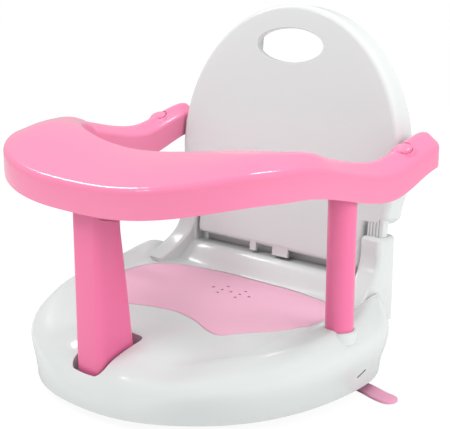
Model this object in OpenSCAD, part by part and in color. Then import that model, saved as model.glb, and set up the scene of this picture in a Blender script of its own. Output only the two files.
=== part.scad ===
// Baby bath seat: a white moulded base on four suction cups, an arched backrest that plugs into it,
// and a pink guard ring with a front tray that stands on two tubes and a crotch post.
// The seat faces -Y. The floor is z = 0 and x = 0 is the plane of symmetry.

/* [Widths] */
// Width of the backrest
back_w = 274; // [240:1:330]
// Gap between a guard arm and the backrest's side
arm_gap = 1; // [0.8:0.1:4]
// Width of a guard arm
arm_w = 32; // [26:1:40]
// How far the tray's side stands inside the arm's outer face
tray_side_in = 4; // [0:1:10]
// From the tray's outer side to a side post's axis
post_inset = 17.5; // [16.5:0.5:20]
// From a side post's axis to the base's edge
base_margin = 12.5; // [11:0.5:24]

/* [Depths] */
// From the base's widest line to its front edge
base_front_l = 178; // [150:1:215]
// From the base's widest line to its rear edge
base_rear_l = 118; // [110:1:145]
// Width of the tray, from its front edge to its inner edge
tray_w = 77; // [60:1:92]
// From the base's widest line forward to the side posts
post_ahead = 8.5; // [0:0.5:20]
// From the base's widest line back to the backrest's foot
back_foot_l = 80; // [76:1:90]
// From the base's front edge back to the crotch post's front face
crotch_inset = 14; // [12:1:22]

/* [Heights] */
// Height of the base's lower edge above the floor
edge_z = 8; // [6:0.5:12]
// Height of the seat surface at its middle
seat_z = 61; // [52:1:75]
// Height of the ring's underside at the front
ring_front_z = 177; // [150:1:212]
// How far the ring's sides rise above the front
ring_crest = 18; // [8:1:24]
// How far the ring dips beside the child, from its crest
ring_dip = 19.5; // [8:0.5:24]
// How far an arm's end rises above the dip
arm_rise = 17; // [8:1:22]
// Height of the backrest above its foot
back_h = 246.5; // [220:0.5:290]
// Lean of the backrest, in degrees
back_lean = 6.2; // [2:0.1:12]
// Height of the bracket towers above the backrest's foot
tower_h = 36; // [30:1:40]

/* [Moulding] */
// Wall of the base and of the backrest
wall = 2.6; // [2.2:0.1:4]
// Wall of the guard ring
ring_wall = 2.5; // [2:0.1:3.5]
// Thickness of the seat pad
pad_t = 4; // [3:0.5:6]
// Depth of the backrest shell
back_d = 24; // [20:1:30]
// Radius of the backrest's front edge
back_round = 5.5; // [4:0.5:14]
// Clearance between two pieces that fit together
fit = 0.3; // [0.2:0.05:0.5]

/* [Posts] */
// Diameter of a side post
post_d = 24.5; // [20:0.5:30]
// Wall of a side post
post_wall = 2.5; // [2:0.1:4]
// Depth of a side post's seat in the base
post_seat = 18; // [14:1:22]
// Width of the crotch post
crotch_w = 34; // [28:1:44]
// Depth of the crotch post under the tray
crotch_top_d = 27; // [22:1:36]
// Depth of the crotch post at the base
crotch_foot_d = 43; // [34:1:48]
// Height of the crotch post's foot above the floor
crotch_foot_z = 30; // [26:1:36]

/* [Handle and buttons] */
// Width of the handle hole
handle_w = 82; // [70:1:110]
// Height of the handle hole
handle_h = 33; // [28:1:40]
// Diameter of a release button
button_d = 17; // [14:0.5:20]
// Travel of a release button
button_travel = 2.5; // [1.5:0.5:3]

/* [Suction cups] */
// Diameter of a suction cup
cup_d = 52; // [44:1:60]
// Length of a cup's release tab beyond its rim
tab_l = 40; // [30:1:46]

/* [Hidden] */

white = "white";
pink = "hotpink";
pad_pink = "pink";
mid_y = 23; // y of the base's widest line
back_half = back_w / 2;
arm_in = back_half + arm_gap;
arm_out = arm_in + arm_w;
tray_half = arm_out - tray_side_in;
post_x = tray_half - post_inset;
base_half = post_x + base_margin;
front_y = mid_y - base_front_l;
post_y = mid_y - post_ahead;

// Base
front_power = 2.35; // how square the base's front half is
rear_power = 2.6;
rim_half = 0.907 * base_half;
pad_half = base_half - 38;
dish = 5; // how far the seat surface rises to the pad's sides
rim_low = seat_z + 4;
ridge_z = seat_z + 22; // ridge behind the pad, under the backrest
ridge_l = back_foot_l + 1;
saddle_drop = 4;
channel_depth = 8; // leg channels on both sides of the crotch post
channel_x = 72;
channel_w = 32;
base_steps = 48;
base_rings = [1, 0.992, 0.972, 0.945, 0.915, 0.88, 0.83, 0.76, 0.66, 0.5, 0.3];

// Pad
pad_back_l = 60;
pad_front_l = 99;
pad_notch_l = 58; // from the widest line to the notch in the pad's front
pad_steps = 72;
drain_d = 3.6;
drain_pitch = 11.6;

// Ring
ring_mid_y = mid_y - 35; // where the tray's arc meets the sides
tray_l = ring_mid_y - front_y;
hole_l = tray_l - tray_w;
inner_half = arm_in - 6; // inside of the ring beside the child
arm_end_y = mid_y + back_foot_l + 38;
arm_end_r = arm_w / 2;
dip_y = mid_y + 33;
top_y = arm_end_y - 5;
arc_steps = 24;
side_steps = 10;
end_steps = 4;
tip_steps = 2; // the arm's last stations, closed by an end wall
side_h = 26; // outer side of the ring, up to its soft edge
arm_thin = 3; // how much less it is at an arm's end
inner_front_h = 42; // the tray's inner edge, above the underside
inner_side_h = 27;
edge_r = 7;
lower_t = 2.4;

// Backrest
foot_y = mid_y + back_foot_l;
foot_z = seat_z + 29;
arch_z = 100; // height of the arch's springing above the foot
flange_z = 58; // bottom of the side flanges above the foot
panel_half = back_half - 31;
panel_z = 3; // the lower panel's bottom edge above the foot
handle_z = back_h - 40;
tenon_x = back_half - 18;
tenon_w = 17;
tenon_d = 9;
tenon_y = 5.2;
tenon_z = 22;
peg_z = 118; // the side pegs that carry the arms
peg_y = back_d / 2 - 1;
peg_r = 6;
peg_l = arm_gap + 18;

// Towers
tower_x = tenon_x;
tower_y = foot_y + 10.5;
tower_w = 23;
tower_d = 27;
tower_foot = 44;
tower_top = foot_z + tower_h;
sweep_l = 30; // how far the rim sweeps up into a tower's front
sweep_z = 82;

// Buttons
button_x = arm_in + arm_w / 2;
button_y = foot_y - 9;
button_tilt = 20; // the arm slopes here, and the button follows it
button_up = 2; // how far the button stands proud
button_skirt = 8;
peg_world = [foot_y + peg_y * cos(back_lean) + peg_z * sin(back_lean),
    foot_z + peg_z * cos(back_lean) - peg_y * sin(back_lean)];
button_z = ring_z(button_y) + side_at(button_y) + 5;
latch_y = (peg_world[0] - button_y) * cos(button_tilt) + (peg_world[1] - button_z) * sin(button_tilt);
latch_z = (peg_world[1] - button_z) * cos(button_tilt) - (peg_world[0] - button_y) * sin(button_tilt) - 1.2;
spring_d = 8;
spring_wire = 1;
spring_turns = 4;

// Suction cups
rear_cup = [base_half - 39, mid_y + 31];
front_cup = [base_half - 72, mid_y - 88];
cup_h = 13;
stud_r = 3.6;
head_r = 5.5;
tab_w = 18;
tab_t = 2.6;

function sgn_pow(v, p) = sign(v) * pow(abs(v), p);
function smooth(v) = let (c = max(0, min(1, v))) c * c * (3 - 2 * c);
function mix(a, b, f) = a + (b - a) * f;

// Faces of a stack of closed loops with n points each, capped at both ends
function stack_faces(loops, n) = concat(
    [[for (i = [0:n - 1]) i]],
    [for (j = [0:loops - 2]) for (i = [0:n - 1]) let (k = (i + 1) % n)
        each [[j * n + i, (j + 1) * n + i, (j + 1) * n + k], [j * n + i, (j + 1) * n + k, j * n + k]]],
    [[for (i = [n - 1:-1:0]) (loops - 1) * n + i]]);

// Outline of the base at its edge, t in degrees from +X towards the rear
function base_power(t) = sin(t) >= 0 ? rear_power : front_power;
function base_x(t) = base_half * sgn_pow(cos(t), 2 / base_power(t));
function base_y(t) = (sin(t) >= 0 ? base_rear_l : base_front_l) * sgn_pow(sin(t), 2 / base_power(t));

// Height of the base's top surface, v measured from the widest line
function rim_z(v) = rim_low + 5.5 * smooth((v + 70) / 60) + 13.5 * smooth((v + 4) / 64);
collar_top = rim_z(-post_ahead) - 2.5;
function seat_at(x) = seat_z + dish * pow(min(1, abs(x) / pad_half), 2);
function leg_channel(x, v) = channel_depth * exp(-pow((abs(x) - channel_x) / channel_w, 2))
    * smooth((-v - 0.4 * base_front_l) / 60);
function flat_top(x, v) = mix(seat_at(x), rim_z(v), smooth((abs(x) - pad_half) / (rim_half - pad_half)))
    - saddle_drop * smooth((-v - 60) / 50) - leg_channel(x, v) - slot_dip(x, v);
function slot_dip(x, v) = 9 * exp(-pow(x / 30, 2)) * smooth((-v - 110) / 40);
function top_at(x, v) = mix(flat_top(x, v), ridge_z, smooth((v - ridge_l + 26) / 26));
function roll_start(t) = 0.91 - 0.15 * pow(max(0, -sin(t)), 2);
function roll(r, t) = let (s = max(0, (r - roll_start(t)) / (1 - roll_start(t))))
    pow(max(0, 1 - s * s), 0.54);
function dome_z(r, t) = mix(edge_z, top_at(r * base_x(t), r * base_y(t)), roll(r, t));

// Dome of the base, smaller all over by inset
module dome(inset, cut) {
    k = 1 - inset / base_half;
    points = concat([for (r = base_rings) for (i = [0:base_steps - 1]) let (t = 360 * i / base_steps)
        [k * r * base_x(t), mid_y + k * r * base_y(t), r == 1 ? edge_z - cut : dome_z(r, t) - inset]],
        [[0, mid_y, top_at(0, 0) - inset]]);
    loops = len(base_rings);
    top = loops * base_steps;
    side = stack_faces(loops, base_steps);
    polyhedron(points, concat([for (i = [0:len(side) - 2]) side[i]],
        [for (i = [0:base_steps - 1]) [top - base_steps + i, top, top - base_steps + (i + 1) % base_steps]]));
}

module base_shell() {
    color(white) difference() {
        union() {
            difference() {
                union() {
                    dome(0, 0);
                    for (s = [-1, 1]) {
                        tower(s);
                        collar(s);
                    }
                    ridge_wall();
                }
                dome(wall, 1);
            }
            intersection() {
                dome(0.4, 0);
                base_bosses();
            }
        }
        pad_solid(fit, 20, fit);
        crotch_pocket(crotch_foot_z, 1.5);
        for (s = [-1, 1]) {
            translate([s * post_x, post_y, collar_top - post_seat])
                cylinder(h = 40, d = post_d + 2 * fit, $fn = 40);
            translate([s * post_x, post_y, edge_z])
                cylinder(h = 60, r = 2.2, $fn = 16);
            translate([s * post_x, post_y, edge_z])
                cylinder(h = collar_top - 4 - post_seat - edge_z, r = 4, $fn = 16);
            tenon(s, fit);
            side_slit(s);
            tower_hollow(s);
        }
        for (s = [-1, 1])
            translate([0, crotch_screw_y(s), 0])
                cylinder(h = 60, r = 2.2, $fn = 16);
        for (p = drain_places())
            translate([p[0], p[1], edge_z])
                cylinder(h = seat_z, d = drain_d, $fn = 12);
        cup_holes();
    }
}

// What stands inside the base: the posts' seats and the suction cups' sockets
module base_bosses() {
    for (s = [-1, 1]) {
        hull() {
            translate([s * post_x, post_y, collar_top - 4 - post_seat])
                cylinder(h = 30, r = post_d / 2 + wall, $fn = 32);
            translate([s * (post_x - 14), post_y, seat_z - 10])
                cylinder(h = 20, r = 4, $fn = 16);
        }
        for (c = [rear_cup, front_cup]) hull() {
            translate([s * c[0], c[1], cup_h])
                cylinder(h = 80, r = head_r + 5, $fn = 24);
            translate([s * c[0], c[1] - 16, seat_z - 18])
                cylinder(h = 20, r = 1.5, $fn = 12);
        }
    }
    pad_solid(wall, 1, fit + 2.2);
    difference() {
        crotch_pocket(crotch_foot_z - wall, 1.5 + wall);
        translate([-50, front_y, crotch_foot_z + 40])
            cube([100, 100, 40]);
    }
}

// Hollow sockets that a cup's stud snaps into
module cup_holes() {
    for (s = [-1, 1], c = [rear_cup, front_cup])
        translate([s * c[0], c[1], 0]) {
            cylinder(h = cup_h + 10, r = stud_r + fit, $fn = 24);
            translate([0, 0, cup_h + 4])
                cylinder(h = 12, r = head_r + 1, $fn = 24);
        }
}

// Loop of a slab with round corners, from y0 to y1, moved outwards by lean at y0
function soft_loop(w, y0, y1, r, z, lean) = [for (c = [[1, 1, 0], [-1, 1, 90], [-1, -1, 180], [1, -1, 270]])
    for (q = [0:3]) let (
        x = c[0] * (w / 2 - r) + r * cos(c[2] + 30 * q),
        y = c[1] * ((y1 - y0) / 2 - r) + r * sin(c[2] + 30 * q) + (y0 + y1) / 2)
        [x + lean * (y1 - y) / (y1 - y0), y, z]];
function sweep_share(z) = pow(1 - max(0, min(1, (z - sweep_z) / 28)), 2.2);

// Rim swept up into a tower's front; low lowers the surface, grow widens it
module tower_sweep(s, levels, low, grow) {
    points = [for (z = levels) let (f = sweep_share(z + low))
        each [for (p = soft_loop(tower_w - 0.4 + 2 * grow, -tower_d / 2 - sweep_l * f, 4, 4, z, s * 8 * f)) p]];
    polyhedron(points, stack_faces(len(levels), 16));
}

// Bracket tower that the backrest's tenon plugs into
module tower(s) {
    translate([s * tower_x, tower_y, 0]) {
        hull() {
            translate([0, 0, tower_foot])
                rounded_plate(tower_w, tower_d, 5, 1);
            translate([0, 0, tower_top - 5])
                rounded_plate(tower_w, tower_d, 5, 1);
            translate([0, 0, tower_top - 1.5])
                rounded_plate(tower_w - 2.5, tower_d - 2.5, 4, 1.5);
        }
        hull() {
            translate([0, 0, tower_foot])
                rounded_plate(tower_w, tower_d, 5, 1);
            translate([-s * 12, -20, tower_foot - 11])
                rounded_plate(10, 10, 4, 1);
        }
        tower_sweep(s, [66, 82, 85, 88, 91, 95, 99, 104, 109], 0, 0);
    }
}

// Inside of a tower, open to the inside of the base
module tower_hollow(s) {
    translate([s * tower_x, tower_y, 0]) {
        translate([0, 0, tower_foot + wall])
            rounded_plate(tower_w - 2 * wall, tower_d - 2 * wall, 3, tower_h + foot_z - 20 - tower_foot - wall);
        hull() {
            translate([0, 0, tower_foot + wall])
                rounded_plate(tower_w - 2 * wall, tower_d - 2 * wall, 3, 1);
            translate([-s * 12, -20, tower_foot - 11 + wall])
                rounded_plate(5, 5, 2, 1);
        }
        tower_sweep(s, [60, 78, 82, 86, 90, 95, 100], wall + 0.6, -wall);
    }
}

// Low wall on the ridge, under the backrest's panel
module ridge_wall() {
    translate([-104, foot_y + 15.5, ridge_z - 4])
        cube([208, 2.6, foot_z + panel_z - 3.2 - ridge_z + 4]);
}

// Round collar that a side post stands in
module collar(s) {
    top = collar_top;
    hull() {
        translate([s * (post_x - 9), post_y, top - 34])
            cylinder(h = 1, r = 8, $fn = 32);
        translate([s * post_x, post_y, top - 10])
            cylinder(h = 8, r = post_d / 2 + 5.5, $fn = 40);
        translate([s * post_x, post_y, top - 1])
            cylinder(h = 1, r = post_d / 2 + 4, $fn = 40);
    }
}

module side_slit(s) {
    translate([s * (base_half - 2), mid_y + 12, edge_z + 15])
        rotate([20, 0, 0])
            cube([16, 12, 2.4], center = true);
}

// Slab with round corners, centred in plan
module rounded_plate(w, d, r, h) {
    hull() for (x = [-1, 1], y = [-1, 1])
        translate([x * (w / 2 - r), y * (d / 2 - r), 0])
            cylinder(h = h, r = r, $fn = 24);
}

// Pad outline at angle t about the pad's middle, with a notch in front for the saddle
pad_mid = mid_y - (pad_front_l - pad_back_l) / 2;
pad_l = (pad_front_l + pad_back_l) / 2;
function pad_full(t) = 1 / pow(pow(abs(cos(t)) / pad_half, 3.4) + pow(abs(sin(t)) / pad_l, 3.4), 1 / 3.4);
function pad_radius(t) = let (a = abs((t % 360) - 270))
    pad_full(t) * (1 - 0.21 * exp(-pow((a - 62) / 20, 2))) - (pad_front_l - pad_notch_l) * exp(-pow(a / 45.5, 8));
function pad_point(t, f, grow) = let (r = f * (pad_radius(t) + grow))
    [r * cos(t), pad_mid + r * sin(t)];

// Pad-shaped solid, lifted above the pad's face by over and reaching under its back by under
module pad_solid(grow, over, under) {
    shares = [1, 0.75, 0.42];
    low = [for (f = shares) for (i = [0:pad_steps - 1]) let (p = pad_point(360 * i / pad_steps, f, grow))
        [p[0], p[1], top_at(p[0], p[1] - mid_y) - pad_t + 0.4 - under]];
    high = [for (f = shares) for (i = [0:pad_steps - 1]) let (p = pad_point(360 * i / pad_steps, f, grow))
        [p[0], p[1], top_at(p[0], p[1] - mid_y) + 0.4 + over]];
    n = pad_steps;
    m = len(shares);
    points = concat([for (j = [m - 1:-1:0]) for (i = [0:n - 1]) low[j * n + i]],
        [for (j = [0:m - 1]) for (i = [0:n - 1]) high[j * n + i]]);
    polyhedron(points, stack_faces(2 * m, n));
}

module seat_pad() {
    color(pad_pink) pad_solid(0, 0, 0);
}

function drain_places() = [for (i = [-2:2]) [i * drain_pitch, mid_y + 17.5],
    [-9, mid_y + 8], [14, mid_y + 8], [-13, mid_y + 28], [10, mid_y + 28]];

// Ring: stations run from the right arm's end round the front to the left arm's end.
// A station holds [outer x, outer y, inner x, inner y, underside z, tray share]
function arm_tip(q) = sqrt(max(0.02, 1 - q * q));
function side_at(y) = side_h - arm_thin * smooth((y - dip_y) / (top_y - dip_y));
function side_station(y) = let (
    f = smooth((y - ring_mid_y) / 110),
    q = max(0, (y - arm_end_y + arm_end_r) / arm_end_r),
    c = (arm_in + arm_out) / 2,
    h = q > 0 ? arm_w / 2 * arm_tip(q) : arm_w,
    outer = min(mix(tray_half, arm_out, f), c + h),
    inner = max(mix(inner_half, arm_in, f), c - h))
    [outer, y, inner, y, ring_z(y), 0];
function ring_z(y) = y < dip_y
    ? ring_front_z + ring_crest - ring_dip * smooth((y - ring_mid_y + 50) / (dip_y - ring_mid_y + 50))
    : ring_front_z + ring_crest - ring_dip + (arm_rise + arm_thin) * smooth((y - dip_y) / (top_y - dip_y));
// a runs from -90 at the left side over 0 at the front to 90 at the right side
function arc_station(a) = let (
    s = abs(sin(a)),
    c = cos(a),
    ox = tray_half * pow(s, 0.71),
    oy = ring_mid_y - tray_l * pow(c, 0.71),
    ix = inner_half * s,
    iy = ring_mid_y - hole_l * c,
    z = abs(a) < 76 ? ring_front_z + ring_crest * smooth(abs(a) / 66) : ring_z(oy))
    [sign(a) * ox, oy, sign(a) * ix, iy, z, pow(c, 1.5)];
side_ys = concat([for (i = [1:side_steps]) mix(ring_mid_y, arm_end_y - arm_end_r, i / side_steps)],
    [for (i = [1:end_steps]) arm_end_y - arm_end_r * (1 - sin(90 * i / end_steps))]);
half_ring = concat([for (i = [1:arc_steps / 2]) arc_station(180 * i / arc_steps)],
    [for (y = side_ys) side_station(y)]);
function mirrored(s) = [-s[0], s[1], -s[2], s[3], s[4], s[5]];
stations = concat([for (i = [len(half_ring) - 1:-1:0]) half_ring[i]], [arc_station(0)],
    [for (p = half_ring) mirrored(p)]);

// Section of the ring as [share of the width from the outer side, height above the underside]
function ring_section(station, inset, drop) = let (
    w = norm([station[0] - station[2], station[1] - station[3]]),
    tray = station[5],
    r = edge_r - inset / 2,
    tip = max(0, (station[1] - arm_end_y + edge_r) / edge_r),
    low = edge_r * (1 - sqrt(max(0, 1 - tip * tip))),
    thin = side_h - side_at(station[1]),
    ho = side_h - thin - inset - low,
    hi = mix(inner_side_h, inner_front_h, tray) - thin - inset - low,
    ri = min(r, w / 3) * 0.7,
    bulge = mix(6.5, 2, tray) * min(1, w / arm_w))
    concat(
        [[inset, -drop]],
        [for (i = [0:3]) let (q = 30 * i) [inset + min(r, w / 3) * (1 - cos(q)), ho - r + r * sin(q)]],
        [for (i = [1:3]) let (f = i / 4)
            [mix(inset + min(r, w / 3), w - inset - ri, f), mix(ho, hi, f) + bulge * 4 * f * (1 - f)]],
        [for (i = [3:-1:0]) let (q = 30 * i) [w - inset - ri * (1 - cos(q)), hi - ri + ri * sin(q)]],
        [[w - inset, -drop]]);
function ring_point(station, p) = let (
    d = [station[2] - station[0], station[3] - station[1]],
    u = d / norm(d))
    [station[0] + u[0] * p[0], station[1] + u[1] * p[0], station[4] + p[1]];

// The ring's hollow shell, open below
module ring_shell(first, last) {
    sections = [for (i = [first:last]) let (inner = ring_section(stations[i], ring_wall, 0))
        concat(ring_section(stations[i], 0, 0), [for (k = [len(inner) - 1:-1:0]) inner[k]])];
    points = [for (i = [first:last]) for (p = sections[i - first]) ring_point(stations[i], p)];
    polyhedron(points, stack_faces(last - first + 1, len(sections[0])));
}

// Solid sweep of the ring's outer form, smaller all round by inset and reaching drop below it
module ring_sweep(inset, drop, first, last) {
    sections = [for (i = [first:last]) ring_section(stations[i], inset, drop)];
    n = len(sections[0]);
    points = [for (i = [first:last]) for (p = sections[i - first]) ring_point(stations[i], p)];
    polyhedron(points, stack_faces(last - first + 1, n));
}

ring_last = len(stations) - 1;
screw_stations = [for (f = [0.16, 0.3, 0.42, 0.58, 0.7, 0.84]) round(f * ring_last)];
function station_mid(i) = [(stations[i][0] + stations[i][2]) / 2, (stations[i][1] + stations[i][3]) / 2,
    stations[i][4]];

module guard_ring_upper() {
    color(pink) difference() {
        union() {
            ring_shell(tip_steps, ring_last - tip_steps);
            ring_sweep(0, 0, 0, tip_steps);
            ring_sweep(0, 0, ring_last - tip_steps, ring_last);
            intersection() {
                ring_sweep(1, 14, 0, ring_last);
                for (s = [-1, 1])
                    translate([s * post_x, post_y, ring_z(post_y) - 12])
                        difference() {
                            cylinder(h = 60, r = post_d / 2 - post_wall - fit, $fn = 32);
                            translate([0, 0, -1])
                                cylinder(h = 30, r = post_d / 2 - post_wall - fit - 2, $fn = 24);
                        }
                for (i = screw_stations) let (c = station_mid(i))
                    hull() {
                        translate([c[0], c[1], c[2] + lower_t + fit])
                            cylinder(h = side_h, r = 3.6, $fn = 16);
                        translate([c[0], c[1], c[2] + side_h])
                            cylinder(h = 16, r = 5.5, $fn = 16);
                    }
            }
            for (s = [-1, 1]) hull() for (k = [0, 1])
                button_place(s)
                    translate([0, 0, -7 + 6 * k])
                        cylinder(h = 1, r = button_d / 2 + 2.2 - k, $fn = 40);
        }
        for (i = screw_stations) let (c = station_mid(i))
            translate([c[0], c[1], c[2] - 2])
                cylinder(h = side_h - 4, r = 1.5, $fn = 12);
        for (s = [-1, 1]) {
            button_place(s)
                translate([0, 0, -20])
                    cylinder(h = 40, r = button_d / 2 + fit, $fn = 48);
            on_back()
                translate([s * (back_half - 4), peg_y, peg_z])
                    rotate([0, s * 90, 0])
                        cylinder(h = peg_l + 6, r = peg_r + fit, $fn = 32);
        }
    }
}

// Closing cover of the ring, with the tongue for the crotch post and the springs' seats
module guard_ring_lower() {
    color(pink) difference() {
        union() {
            lower_plate();
            for (s = [-1, 1]) {
                button_place(s) {
                    translate([0, 0, -31])
                        cylinder(h = 17, r = spring_d / 2 - spring_wire - 0.3, $fn = 16);
                    translate([0, 0, -31])
                        cylinder(h = 12.5, r = spring_d / 2 + 1, $fn = 16);
                }
            }
            crotch_tongue();
        }
        for (s = [-1, 1])
            translate([s * post_x, post_y, ring_z(post_y) - 20])
                cylinder(h = 40, r = post_d / 2 + fit, $fn = 48);
        for (i = screw_stations) let (c = station_mid(i))
            translate([c[0], c[1], c[2] - 5])
                cylinder(h = 20, r = 2, $fn = 12);
    }
}

module lower_plate() {
    first = 2;
    last = ring_last - 2;
    points = [for (i = [first:last]) let (
        st = stations[i],
        w = norm([st[0] - st[2], st[1] - st[3]]),
        g = ring_wall + fit)
        each [for (p = [[g, 0], [g, lower_t], [w - g, lower_t], [w - g, 0]]) ring_point(st, p)]];
    polyhedron(points, stack_faces(last - first + 1, 4));
}

// Crotch post: a tapered box section with round corners, deeper at its foot
function crotch_rear_d(z) = mix(crotch_foot_d, crotch_top_d, (z - crotch_foot_z) / (ring_front_z - crotch_foot_z));
crotch_y = front_y + crotch_inset;
module crotch_form(z0, z1, grow, r) {
    levels = [z0, (z0 + z1) / 2, z1];
    points = [for (z = levels) let (
        w = crotch_w / 2 + grow,
        d0 = crotch_y - grow,
        d1 = crotch_y + crotch_rear_d(z) + grow)
        each [for (c = [[1, 0, d1], [-1, 90, d1], [-1, 180, d0], [1, 270, d0]])
            for (q = [0:5]) let (b = c[1] + 18 * q)
                [c[0] * (w - r) + r * cos(b), c[2] + (c[2] == d1 ? -r : r) + r * sin(b), z]]];
    polyhedron(points, stack_faces(3, 24));
}

function crotch_screw_y(s) = crotch_y + crotch_foot_d / 2 + s * 11;

module crotch_post() {
    color(pink) difference() {
        crotch_form(crotch_foot_z + 0.02, ring_front_z, 0, 6);
        crotch_form(crotch_foot_z + 8, ring_front_z + 20, -wall, 3);
        for (s = [-1, 1]) {
            translate([0, crotch_screw_y(s), crotch_foot_z - 1])
                cylinder(h = 12, r = 1.6, $fn = 16);
            // shallow fold at the top of each side
            translate([s * (crotch_w / 2 + 5), crotch_y + 14, ring_front_z - 5])
                rotate([-14, 0, 0])
                    cube([12, 40, 10], center = true);
        }
    }
}

// Tongue of the ring's cover that the crotch post slides onto
module crotch_tongue() {
    difference() {
        crotch_form(ring_front_z - 14, ring_front_z + 9, -wall - fit, 2.5);
        crotch_form(ring_front_z - 20, ring_front_z, -wall - fit - 2.2, 1);
    }
}

// Pocket in the base's front that the crotch post stands in
module crotch_pocket(z, grow) {
    translate([0, crotch_y + crotch_foot_d / 2 + 1, z])
        rounded_plate(crotch_w + 2 * grow, crotch_foot_d + 5 + 2 * grow, 6 + grow / 2, 60);
}

module side_post(s) {
    bottom = collar_top - post_seat;
    top = ring_z(post_y) + 11;
    color(pink) translate([s * post_x, post_y, 0]) difference() {
        translate([0, 0, bottom])
            cylinder(h = top - bottom, d = post_d, $fn = 96);
        translate([0, 0, bottom + 12])
            cylinder(h = top - bottom, d = post_d - 2 * post_wall, $fn = 96);
        translate([0, 0, bottom - 1])
            cylinder(h = 12, r = 1.6, $fn = 32);
    }
}
module side_post_left() { side_post(-1); }
module side_post_right() { side_post(1); }

// Backrest, drawn upright from its foot and then leaned back
module on_back() {
    translate([0, foot_y, foot_z])
        rotate([-back_lean, 0, 0])
            children();
}

arch_h = back_h - arch_z;
back_right = concat(
    [[0, panel_z], [panel_half * 0.55, panel_z], [panel_half - 4, panel_z], [panel_half, panel_z + 4],
        [panel_half, flange_z - 12], [panel_half + 3, flange_z - 10], [back_half - 13, flange_z - 10],
        [back_half - 7, flange_z - 3], [back_half - 5.5, flange_z + 6], [back_half - 1.5, arch_z - 18]],
    [for (i = [0:14]) let (a = 6 * i) [back_half * cos(a), arch_z + arch_h * sin(a)]]);
back_line = concat(back_right, [[0, back_h]],
    [for (i = [len(back_right) - 1:-1:1]) [-back_right[i][0], back_right[i][1]]]);
function inward(p, inset) = let (c = [0, arch_z - 8], d = c - p) p + d * inset / norm(d);

// Solid of the backrest's outline, with its front edge rounded
module back_solid(inset, r, rear) {
    steps = 4;
    rings = concat([[0, rear]], [for (i = [0:steps]) let (q = 90 * i / steps)
        [r * (1 - cos(q)), r * (1 - sin(q))]]);
    n = len(back_line);
    points = [for (g = rings) for (p = back_line) let (v = inward(p, inset + g[0]))
        [v[0], inset + g[1], v[1]]];
    polyhedron(points, stack_faces(len(rings), n));
}

// Oval tube along the depth, for the handle hole
module handle_oval(grow, y0, y1) {
    translate([0, y1, handle_z])
        rotate([90, 0, 0])
            linear_extrude(y1 - y0)
                scale([(handle_w + 2 * grow) / 40, (handle_h + 2 * grow) / 40])
                    circle(r = 20, $fn = 36);
}

module tenon(s, grow) {
    on_back()
        translate([s * tenon_x - tenon_w / 2 - grow, tenon_y - tenon_d / 2 - grow, tenon_z - grow])
            cube([tenon_w + 2 * grow, tenon_d + 2 * grow, 42]);
}

module backrest() {
    color(white) difference() {
        union() {
            on_back() difference() {
                union() {
                    difference() {
                        back_solid(0, back_round, back_d);
                        back_solid(wall, back_round - wall, back_d + 5);
                    }
                    intersection() {
                        back_solid(1, back_round - 1, back_d - 6);
                        back_ribs();
                    }
                    handle_oval(wall, 1.5, back_d / 2);
                }
                handle_oval(0, -5, back_d + 5);
            }
            for (s = [-1, 1]) {
                tenon_post(s);
                peg(s);
            }
            foot_tabs();
        }
    }
}

// Ribs of the hollow rear side
module back_ribs() {
    for (x = [-92, -50, 50, 92])
        hull() {
            translate([x - 1, 1, panel_z]) cube([2, back_d, 1]);
            translate([x - 1, 1, back_h]) cube([2, back_d - 6, 1]);
        }
    for (z = [arch_z - 40, arch_z + 8, arch_z + 56])
        hull() {
            translate([-back_half, 1, z]) cube([1, back_d, 2]);
            translate([back_half, 1, z]) cube([1, back_d, 2]);
        }
}

// Ribbed tenon that drops into a tower
module tenon_post(s) {
    on_back()
        translate([s * tenon_x, tenon_y, 0]) {
            difference() {
                translate([-tenon_w / 2, -tenon_d / 2, tenon_z])
                    cube([tenon_w, tenon_d, flange_z - tenon_z]);
                for (i = [-2:2])
                    translate([i * 3.4 - 0.7, -tenon_d / 2 - 1, tenon_z + 10])
                        cube([1.4, 2.2, flange_z]);
            }
            hull() {
                translate([-tenon_w / 2, -tenon_d / 2, flange_z - 4])
                    cube([tenon_w, tenon_d, 2]);
                translate([-tenon_w / 2 - 2, -tenon_y + 2, flange_z + 12])
                    cube([tenon_w + 4, 2, 1]);
            }
        }
}

// Side peg that an arm's end hooks onto, with a groove for the latch
module peg(s) {
    on_back()
        translate([s * (back_half - 6), peg_y, peg_z])
            rotate([0, s * 90, 0])
                difference() {
                    cylinder(h = 6 + peg_l, r = peg_r, $fn = 32);
                    translate([0, 0, peg_l + 0.5])
                        difference() {
                            cylinder(h = 3, r = peg_r + 1, $fn = 32);
                            cylinder(h = 3, r = peg_r - 1.6, $fn = 32);
                        }
                }
}

// Small tabs of the lower panel that bridge the gap to the base
module foot_tabs() {
    for (t = [[-27, 8], [9, 20]])
        on_back()
            translate([t[0] - t[1] / 2, 0.6, panel_z - 6.5])
                cube([t[1], 3, 12]);
}

// A place on the arm's slope, z out of the surface
module button_place(s) {
    translate([s * button_x, button_y, button_z])
        rotate([button_tilt, 0, 0])
            children();
}

// Button cap with its skirt, and the latch leg whose nib stands in the peg's groove
module release_button(s) {
    color(pink) button_place(s) {
        rotate_extrude($fn = 96) polygon([
            [0, button_up], [button_d / 2 - 3, button_up - 0.15], [button_d / 2 - 1, button_up - 0.7],
            [button_d / 2, button_up - 1.8], [button_d / 2, -button_skirt],
            [button_d / 2 - 1.6, -button_skirt], [button_d / 2 - 1.6, -1], [0, -1]]);
        translate([-s * 2 - 1, button_d / 2 - 2.6, latch_z])
            cube([2, 2, -latch_z - 0.5]);
        translate([-s * 2 - 1, button_d / 2 - 2.6, latch_z])
            cube([2, latch_y - peg_r + 1.2 - button_d / 2 + 2.6, 2.4]);
    }
}
module release_button_left() { release_button(-1); }
module release_button_right() { release_button(1); }

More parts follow.
